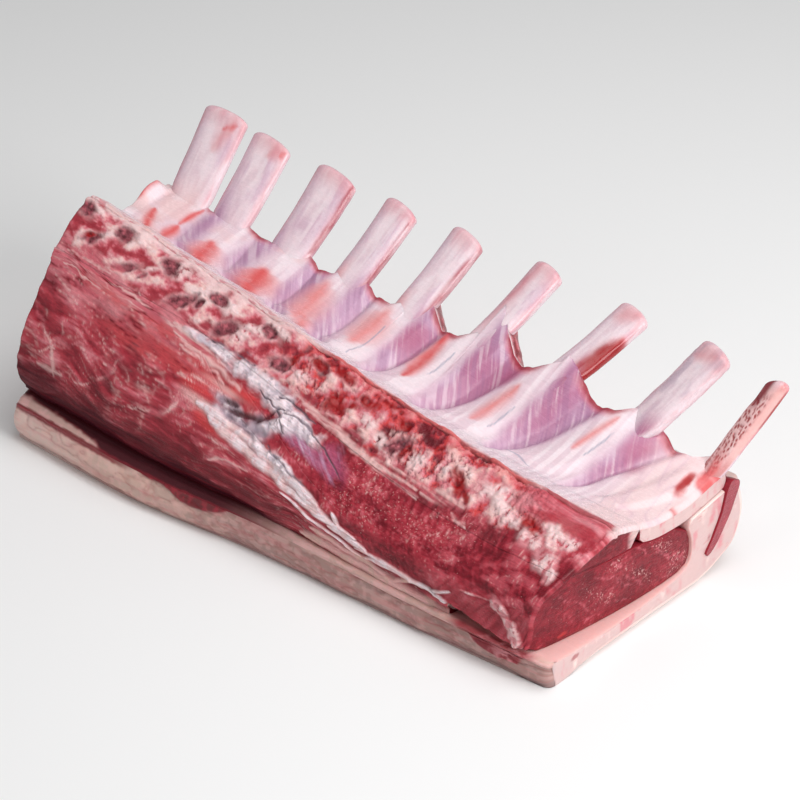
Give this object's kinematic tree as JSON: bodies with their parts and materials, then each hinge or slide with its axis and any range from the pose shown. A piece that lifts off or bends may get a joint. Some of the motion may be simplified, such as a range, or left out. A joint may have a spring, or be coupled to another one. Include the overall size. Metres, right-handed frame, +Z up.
{
  "type": "raw rack of lamb",
  "caption": "Raw rack of lamb lying on its fat side, with long frenched ribs curving up from the loin, a sawn chine edge and a thick fat cap.",
  "frame": {"origin": "middle of the flat fat face that the rack rests on", "axes": "+X along the chine from the shoulder end to the loin end, +Y from the chine side towards the rib tips, +Z up"},
  "size_m": [0.2806, 0.1485, 0.0972],
  "materials": {
    "lean_meat": "moist raw lean meat, red-pink, with thin white connective lines",
    "dark_lean_meat": "moist dark red lean meat with fine marbling",
    "fat": "smooth pale pink-cream fat",
    "membrane": "shiny lilac-white membrane over thin meat between the ribs",
    "rib_bone": "scraped pale bone, semi-gloss, with pink stains",
    "sawn_chine_bone": "rough sawn bone with dark red marrow spots"
  },
  "bodies": {
    "root": {"fat_cap": "fat", "shoulder_muscle": "lean_meat", "seam_fat": "fat", "loin_eye": "dark_lean_meat", "chine_bone": "sawn_chine_bone", "chine_strip_muscle": "lean_meat", "rib_plate": "membrane", "cap_muscle": "dark_lean_meat", "rib_1": "rib_bone", "rib_2": "rib_bone", "rib_3": "rib_bone", "rib_4": "rib_bone", "rib_5": "rib_bone", "rib_6": "rib_bone", "rib_7": "rib_bone", "rib_8": "rib_bone", "rib_9": "rib_bone"}
  },
  "joints": []
}
